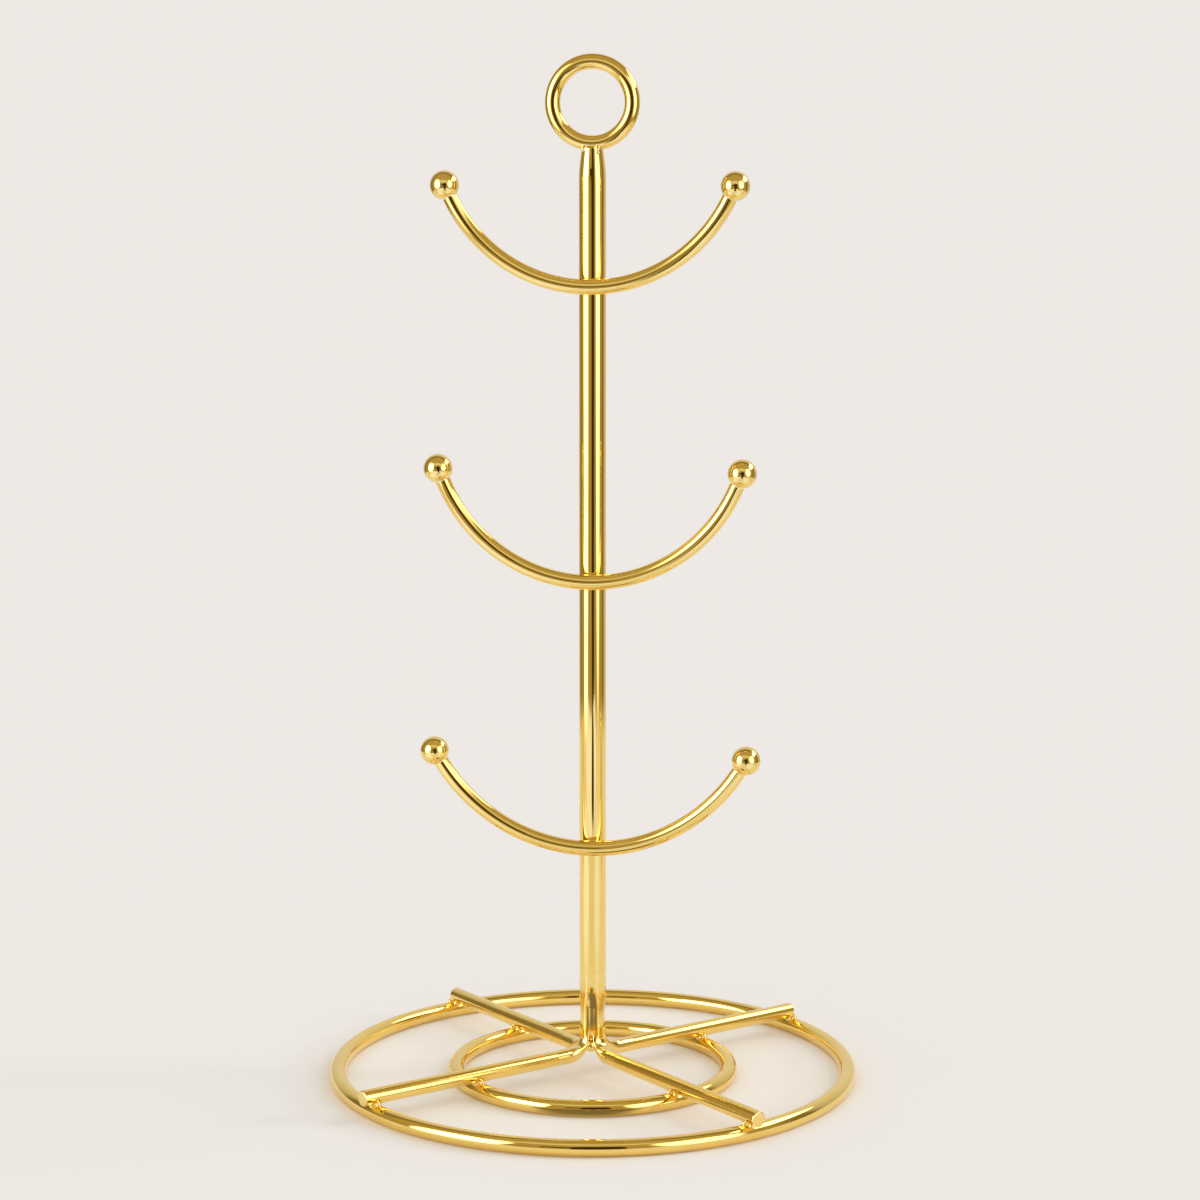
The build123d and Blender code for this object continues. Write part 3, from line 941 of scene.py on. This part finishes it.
def crossing_braze(radius, turn, reach):
    """A fillet between a leg and the ring that it crosses, with a frozen drop on one side."""
    angle = math.radians(turn)
    out = Vector((math.cos(angle), math.sin(angle), 0))
    along = UP.cross(out)
    ring_stub = bow_of_wire(
        radius, RING_WIRE - FILLER_SHRINK, UP * RING_HEIGHT, UP, out, RING_STUB_LENGTH / radius,
        RING_STUB_STEPS,
    )
    bmesh.ops.contextual_create(ring_stub, geom=cut_below(ring_stub, RING_STUB_FLOOR))
    leg_stub = bmesh.new()
    rim = open_rim(leg_stub, LEG_WIRE - FILLER_SHRINK, out * (radius - LEG_STUB_HALF) + UP * LEG_HEIGHT, out)
    first = list(rim)
    length = min(2 * LEG_STUB_HALF, reach - LEG_STUB_INSET - radius + LEG_STUB_HALF)
    last = run_on(leg_stub, rim, out * length)
    middle = out * radius
    side_height, end_height = RING_TOP + BEAD_LIFT, LEG_HEIGHT - LEG_WIRE - BEAD_LIFT
    beads = [nugget(CROSSING_CORE, middle + UP * RING_TOP)]
    beads += [nugget(SIDE_BEAD, middle + along * side * BEAD_OUT + UP * side_height) for side in (-1, 1)]
    beads += [nugget(END_BEAD, out * (radius + side * BEAD_OUT) + UP * end_height) for side in (-1, 1)]
    drop_place = middle + along * DROP_SIDES[turn] * DROP_OUT + UP * (RING_TOP + DROP_LIFT)
    fillet = melted([ring_stub, capped(leg_stub, first, last)] + beads, *CROSSING_FLOW)
    return [fillet, nugget(DROP_RADIUS, drop_place)]


for ring_name, (ring_radius, _) in BASE_RINGS.items():
    brazes = []
    for leg_name, leg_turn in LEG_TURNS.items():
        brazes += crossing_braze(ring_radius, leg_turn, leg_reach(leg_name))
    put_down_filler(f"stand_{ring_name}_ring_brazes", brazes, f"{ring_name}_ring_brazes")


# Stage: a pale floor, soft light and the panels that the polished gold mirrors; sizes in metres

FLOOR_COLOUR = (0.855, 0.815, 0.776, 1.0)
# Painted warm light that the gold throws on the floor round the base, and how far out it reaches
PAINTED_GOLD_BOUNCE = (0.895, 0.835, 0.750)
PAINTED_BOUNCE_REACH = 0.2
FLOOR_RADIUS = 12.0
TABLE_RADIUS, TABLE_FADE, TABLE_LIFT = 0.66, 0.50, 0.0001
DISC_SIDES = 128
AMBIENT_LIGHT = 0.83
# Each lamp's azimuth, elevation, share of the floor's light and softness, with angles in degrees
LAMPS = {"key_light": (112, 38, 0.12, 34), "side_light": (101, 15, 0.05, 9)}
STAGE_CENTRE = Vector((0, 0, 0.16))
TENT_RADIUS = 1.5
DIM_WALL = (0.46, 0.365, 0.175)
DARK_GAP = (0.26, 0.20, 0.09)
PALE_WALL = (0.62, 0.58, 0.52)
LOW_SHARE = (0.85, 0.85, 0.85)
FULL_SHARE = (1.0, 1.0, 1.0)
WHITE = (1.0, 1.0, 1.0, 1.0)
SOFT_WHITE = (1.0, 0.985, 0.96, 1.0)
WARM_STRIP = (1.0, 0.94, 0.82, 1.0)
DARK_CARD = (0.045, 0.031, 0.011, 1.0)
COOL_GLOW = (0.95, 1.0, 1.40, 1.0)
WARM_GAP = (1.0, 0.94, 0.80, 1.0)
WARM_SHADE = (1.0, 0.97, 0.90, 1.0)
FOOT_SHADE = (1.0, 0.88, 0.60, 1.0)

# Panels on the tent's wall: azimuth, elevation, width and height in degrees as seen from the stand,
# then strength, softness, squareness, tint and distance
WALL_PANELS = {
    "softbox_left": (-49, 12, 48, 62, 3.0, 0.5, 3.0, SOFT_WHITE, 1.1),
    "softbox_left_core": (-49, 18, 40, 34, 5.0, 0.8, 2.5, SOFT_WHITE, 1.05),
    "softbox_right": (56, 14, 44, 60, 2.7, 0.8, 2.5, SOFT_WHITE, 1.1),
    "softbox_key": (114, 38, 52, 24, 3.5, 0.5, 3.0, SOFT_WHITE, 1.1),
    "dark_card": (12, 4, 24, 42, 1.0, 0.45, 4.0, DARK_CARD, 1.0),
    "dark_card_wing": (-3, 10.5, 18, 11, 1.0, 0.3, 5.0, DARK_CARD, 1.0),
    "overhead_strip": (2, 41, 88, 24, 0.75, 0.9, 2.5, WARM_STRIP, 0.466),
}

# Panels on the table: azimuth, near and far distance from the stand and width,
# then strength, softness, squareness, tint and lift off the table
# The glows and the rim are painted light on the table top, and the two shades painted shade, shown only in
# reflections
TABLE_PANELS = {
    "table_glow_left": (-50, 0.09, 0.43, 0.30, 1.08, 0.8, 2.0, COOL_GLOW, 0.0006),
    "table_glow_right": (48, 0.09, 0.43, 0.26, 1.0, 0.8, 2.0, COOL_GLOW, 0.0006),
    "table_gap_left": (-78, 0.24, 0.56, 0.12, 0.60, 0.8, 2.5, WARM_GAP, 0.0007),
    "table_gap_right": (96, 0.24, 0.56, 0.12, 0.60, 0.8, 2.5, WARM_GAP, 0.0007),
    "table_shade": (9, 0.10, 0.34, 0.30, 0.80, 0.8, 2.5, WARM_SHADE, 0.0004),
    "table_rim": (-4, 0.30, 0.60, 0.80, 1.06, 0.6, 4.0, COOL_GLOW, 0.0003),
    "foot_shade": (7, 0.040, 0.079, 0.050, 0.20, 0.7, 4.0, FOOT_SHADE, 0.0008),
    "dark_mat": (11, 0.32, 0.64, 0.17, 1.0, 0.7, 3.0, DARK_CARD, 0.0006),
}


def stage_object(name, shape, finish, glossy_only):
    """Put something on the stage, seen only in reflections or never in them."""
    mesh = bpy.data.meshes.new(name)
    shape.to_mesh(mesh)
    shape.free()
    mesh.materials.append(finish)
    thing = bpy.data.objects.new(name, mesh)
    bpy.context.collection.objects.link(thing)
    if glossy_only:
        thing.visible_camera = False
        thing.visible_diffuse = False
        thing.visible_transmission = False
        thing.visible_shadow = False
    else:
        thing.visible_glossy = False
    return thing


def glow(name, tint, strength):
    """A finish that only shines, with its node tree and its shining node."""
    finish = bpy.data.materials.new(name)
    finish.use_nodes = True
    tree = finish.node_tree
    tree.nodes.remove(tree.nodes["Principled BSDF"])
    shine = add_node(tree, "Emission", Color=tint, Strength=strength)
    tree.links.new(shine.outputs["Emission"], tree.nodes["Material Output"].inputs["Surface"])
    return finish, tree, shine


def ramp(tree, value, low, high, stops):
    """Colours along a value between two limits, through stops given as shares of the way."""
    share = add_node(tree, "MapRange", Value=value, From_Min=low, From_Max=high).outputs["Result"]
    made = add_node(tree, "ValToRGB", Fac=share)
    scale = made.color_ramp
    while len(scale.elements) < len(stops):
        scale.elements.new(0.5)
    for element, (where, colour) in zip(scale.elements, stops):
        element.position = where
        element.color = (*colour, 1.0)
    return made.outputs["Color"]


def floor_paint(name, fades):
    """Matt pale paint, with the gold's warm light round the base painted into it; the table top fades to its
    rim.
    """
    paint = bpy.data.materials.new(name)
    paint.use_nodes = True
    tree = paint.node_tree
    surface = tree.nodes["Principled BSDF"]
    surface.inputs["Roughness"].default_value = 0.9
    surface.inputs["Specular IOR Level"].default_value = 0.0
    length = add_node(tree, "VectorMath")
    length.operation = "LENGTH"
    tree.links.new(add_node(tree, "TexCoord").outputs["Object"], length.inputs[0])
    reach = length.outputs["Value"]
    # Painted warm light of the gold round the base, going over into the plain floor colour further out
    far_tone = FLOOR_COLOUR[:3]
    stops = ((0.0, PAINTED_GOLD_BOUNCE), (0.34, PAINTED_GOLD_BOUNCE), (0.47, far_tone), (1.0, far_tone))
    tree.links.new(ramp(tree, reach, 0.0, PAINTED_BOUNCE_REACH, stops), surface.inputs["Base Color"])
    if fades:
        tree.links.new(span(tree, reach, TABLE_FADE, TABLE_RADIUS, 1.0, 0.0), surface.inputs["Alpha"])
    return paint


def flat_disc(radius, height):
    """A flat round sheet at a height."""
    shape = bmesh.new()
    bmesh.ops.create_circle(
        shape, cap_ends=True, radius=radius, segments=DISC_SIDES, matrix=Matrix.Translation(UP * height)
    )
    return shape


# The floor itself, and the table top that stands for it in reflections
stage_object("floor", flat_disc(FLOOR_RADIUS, 0.0), floor_paint("floor_paint", False), glossy_only=False)
table = flat_disc(TABLE_RADIUS, TABLE_LIFT)
stage_object("table_top", table, floor_paint("table_paint", True), glossy_only=True)


def tent_finish():
    """The tent's glow: dim and warm in front, a dark gap, then the pale backdrop, all dimmer low down."""
    finish, tree, shine = glow("tent_glow", SOFT_WHITE, 1.0)
    way = add_node(tree, "VectorMath")
    way.operation = "NORMALIZE"
    tree.links.new(add_node(tree, "TexCoord").outputs["Object"], way.inputs[0])
    parts = add_node(tree, "SeparateXYZ", Vector=way.outputs["Vector"]).outputs
    front_to_back = (
        (0.0, DIM_WALL), (0.52, DIM_WALL), (0.62, DARK_GAP), (0.70, DARK_GAP), (0.78, PALE_WALL),
        (1.0, FLOOR_COLOUR[:3]),
    )
    low_to_high = ((0.0, LOW_SHARE), (0.52, LOW_SHARE), (0.84, FULL_SHARE), (1.0, FULL_SHARE))
    tree.links.new(ramp(tree, parts["Y"], -1.0, 1.0, front_to_back), shine.inputs["Color"])
    tree.links.new(ramp(tree, parts["Z"], -1.0, 1.0, low_to_high), shine.inputs["Strength"])
    return finish


tent = bmesh.new()
bmesh.ops.create_uvsphere(tent, u_segments=64, v_segments=32, radius=TENT_RADIUS)
stage_object("tent", tent, tent_finish(), glossy_only=True).location = STAGE_CENTRE


def soft_panel(name, centre, size, strength, softness, squareness, tint):
    """A glowing panel that only reflections show, with soft edges."""
    finish, tree, shine = glow(name + "_glow", tint, strength)
    place = add_node(tree, "TexCoord").outputs["Generated"]
    parts = add_node(tree, "SeparateXYZ", Vector=place).outputs
    powers = []
    for axis in ("X", "Y"):
        off = sum_up(tree, "ABSOLUTE", sum_up(tree, "SUBTRACT", parts[axis], 0.5))
        powers.append(sum_up(tree, "POWER", sum_up(tree, "MULTIPLY", off, 2.0), squareness))
    mask = span(tree, sum_up(tree, "ADD", *powers), 1.0 - softness, 1.0, 1.0, 0.0)
    clear = add_node(tree, "BsdfTransparent")
    soft = mix_shaders(tree, mask, clear.outputs["BSDF"], shine.outputs["Emission"])
    tree.links.new(soft, tree.nodes["Material Output"].inputs["Surface"])
    shape = bmesh.new()
    bmesh.ops.create_grid(shape, x_segments=1, y_segments=1, size=0.5)
    bmesh.ops.scale(shape, vec=(*size, 1.0), verts=shape.verts[:])
    panel = stage_object(name, shape, finish, glossy_only=True)
    panel.location = centre
    return panel


def heading(azimuth, elevation):
    """The way to something on the stage, from angles in degrees."""
    turn, lift = math.radians(azimuth), math.radians(elevation)
    return Vector((math.sin(turn) * math.cos(lift), -math.cos(turn) * math.cos(lift), math.sin(lift)))


for name, (azimuth, elevation, width, height, *looks, distance) in WALL_PANELS.items():
    way = heading(azimuth, elevation)
    size = [2 * distance * math.tan(math.radians(angle / 2)) for angle in (width, height)]
    panel = soft_panel(name, STAGE_CENTRE + way * distance, size, *looks)
    panel.rotation_euler = way.to_track_quat("Z", "Y").to_euler()

for name, (azimuth, near, far, width, *looks, lift) in TABLE_PANELS.items():
    middle = heading(azimuth, 0) * (near + far) / 2 + UP * lift
    panel = soft_panel(name, middle, (width, far - near), *looks)
    panel.rotation_euler = (0, 0, math.radians(azimuth))

world = bpy.data.worlds.new("room")
bpy.context.scene.world = world
world.use_nodes = True
room = world.node_tree
ambient = set_inputs(room, room.nodes["Background"], {"Color": WHITE, "Strength": AMBIENT_LIGHT})
pale = add_node(room, "Background", Color=FLOOR_COLOUR, Strength=1.0)
rays = add_node(room, "LightPath").outputs
mirrored = sum_up(room, "MAXIMUM", rays["Is Glossy Ray"], rays["Is Transmission Ray"])
seen = sum_up(room, "MAXIMUM", rays["Is Camera Ray"], mirrored)
choice = mix_shaders(room, seen, ambient.outputs["Background"], pale.outputs["Background"])
room.links.new(choice, room.nodes["World Output"].inputs["Surface"])

for name, (azimuth, elevation, share, softness) in LAMPS.items():
    light = bpy.data.lights.new(name, "SUN")
    light.energy = share * math.pi / math.sin(math.radians(elevation))
    light.angle = math.radians(softness)
    lamp = bpy.data.objects.new(name, light)
    lamp.visible_glossy = False
    lamp.rotation_euler = heading(azimuth, elevation).to_track_quat("Z", "Y").to_euler()
    bpy.context.collection.objects.link(lamp)

# Camera, at the photograph's viewing angle
CAMERA_AZIMUTH, CAMERA_ELEVATION = 9.621, 8.672
CAMERA_DISTANCE = 0.94389
CAMERA_SIDE = 0.002209
CAMERA_TARGET_HEIGHT = 0.146189
CAMERA_LENS, CAMERA_SENSOR = 94.952, 36.0
camera_data = bpy.data.cameras.new("camera")
camera_data.lens = CAMERA_LENS
camera_data.sensor_width = CAMERA_SENSOR
camera_data.clip_start = 0.01
camera_back = heading(CAMERA_AZIMUTH, CAMERA_ELEVATION)
camera_right = heading(CAMERA_AZIMUTH + 90, 0)
camera = bpy.data.objects.new("camera", camera_data)
camera.location = UP * CAMERA_TARGET_HEIGHT + camera_right * CAMERA_SIDE + camera_back * CAMERA_DISTANCE
camera.rotation_euler = camera_back.to_track_quat("Z", "Y").to_euler()
bpy.context.collection.objects.link(camera)
bpy.context.scene.camera = camera
bpy.context.scene.view_settings.view_transform = "Standard"
